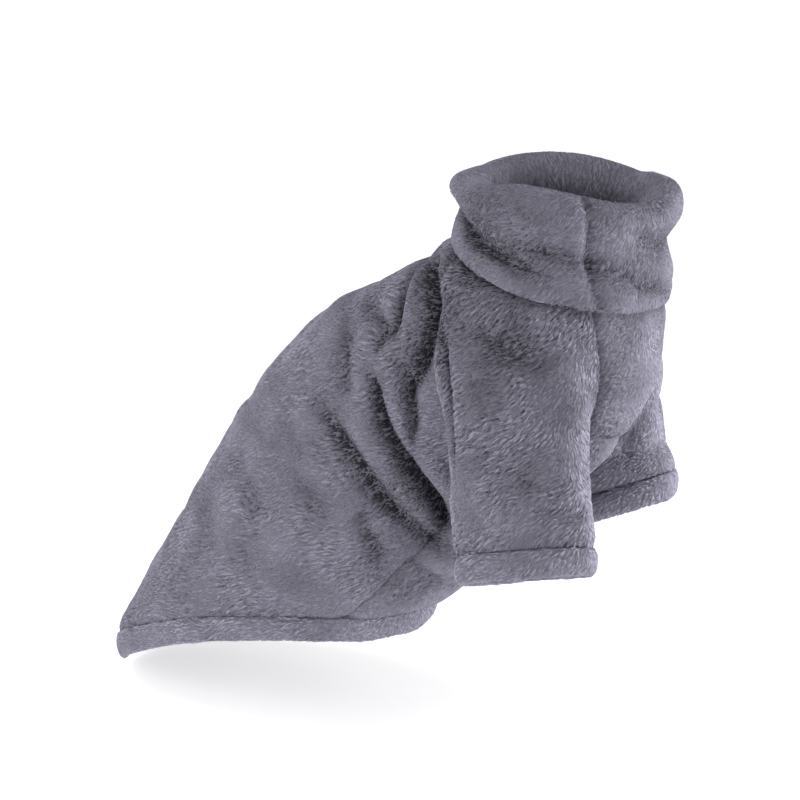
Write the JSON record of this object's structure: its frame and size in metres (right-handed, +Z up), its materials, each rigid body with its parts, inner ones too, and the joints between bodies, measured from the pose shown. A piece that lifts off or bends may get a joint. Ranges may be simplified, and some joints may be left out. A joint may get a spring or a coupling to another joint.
{
  "type": "cat turtleneck pullover",
  "caption": "Plush fleece pullover for a cat, with a folded turtleneck collar, raglan front-leg sleeves and turned hems, filled out in a sitting form with nobody in it.",
  "frame": {"origin": "centre of the neckline, where the wearer's neck holds the pullover up", "axes": "-Y the way the wearer's chest faces, +X towards the wearer's left, +Z up"},
  "size_m": [0.1264, 0.3047, 0.2758],
  "materials": {
    "fleece": "deep, matt plush pile in a slightly violet grey"
  },
  "bodies": {
    "root": {"back_panel": "fleece", "belly_panel": "fleece", "sleeve_right": "fleece", "sleeve_left": "fleece", "collar": "fleece", "rear_hem_band": "fleece", "cuff_band_right": "fleece", "cuff_band_left": "fleece"}
  },
  "joints": []
}
